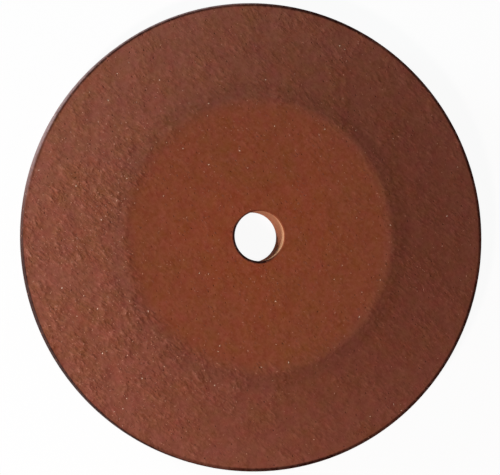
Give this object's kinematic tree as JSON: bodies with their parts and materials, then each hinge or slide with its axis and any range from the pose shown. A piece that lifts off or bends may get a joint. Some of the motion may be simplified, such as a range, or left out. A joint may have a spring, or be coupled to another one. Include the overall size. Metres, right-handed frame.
{
  "type": "grinding wheel",
  "caption": "Bonded abrasive wheel, flat on the back and tapered on the front from a flat land round a plain arbor bore down to a straight edge.",
  "frame": {"origin": "middle of the flat back face, on the bore's axis", "axes": "+Z along the bore's axis, from the flat back face towards the tapered front face"},
  "size_m": [0.1524, 0.1524, 0.0127],
  "materials": {
    "abrasive": "matte brown-red bonded abrasive grain, fine and slightly glittering"
  },
  "bodies": {
    "root": {"grinding_wheel": "abrasive"}
  },
  "joints": []
}
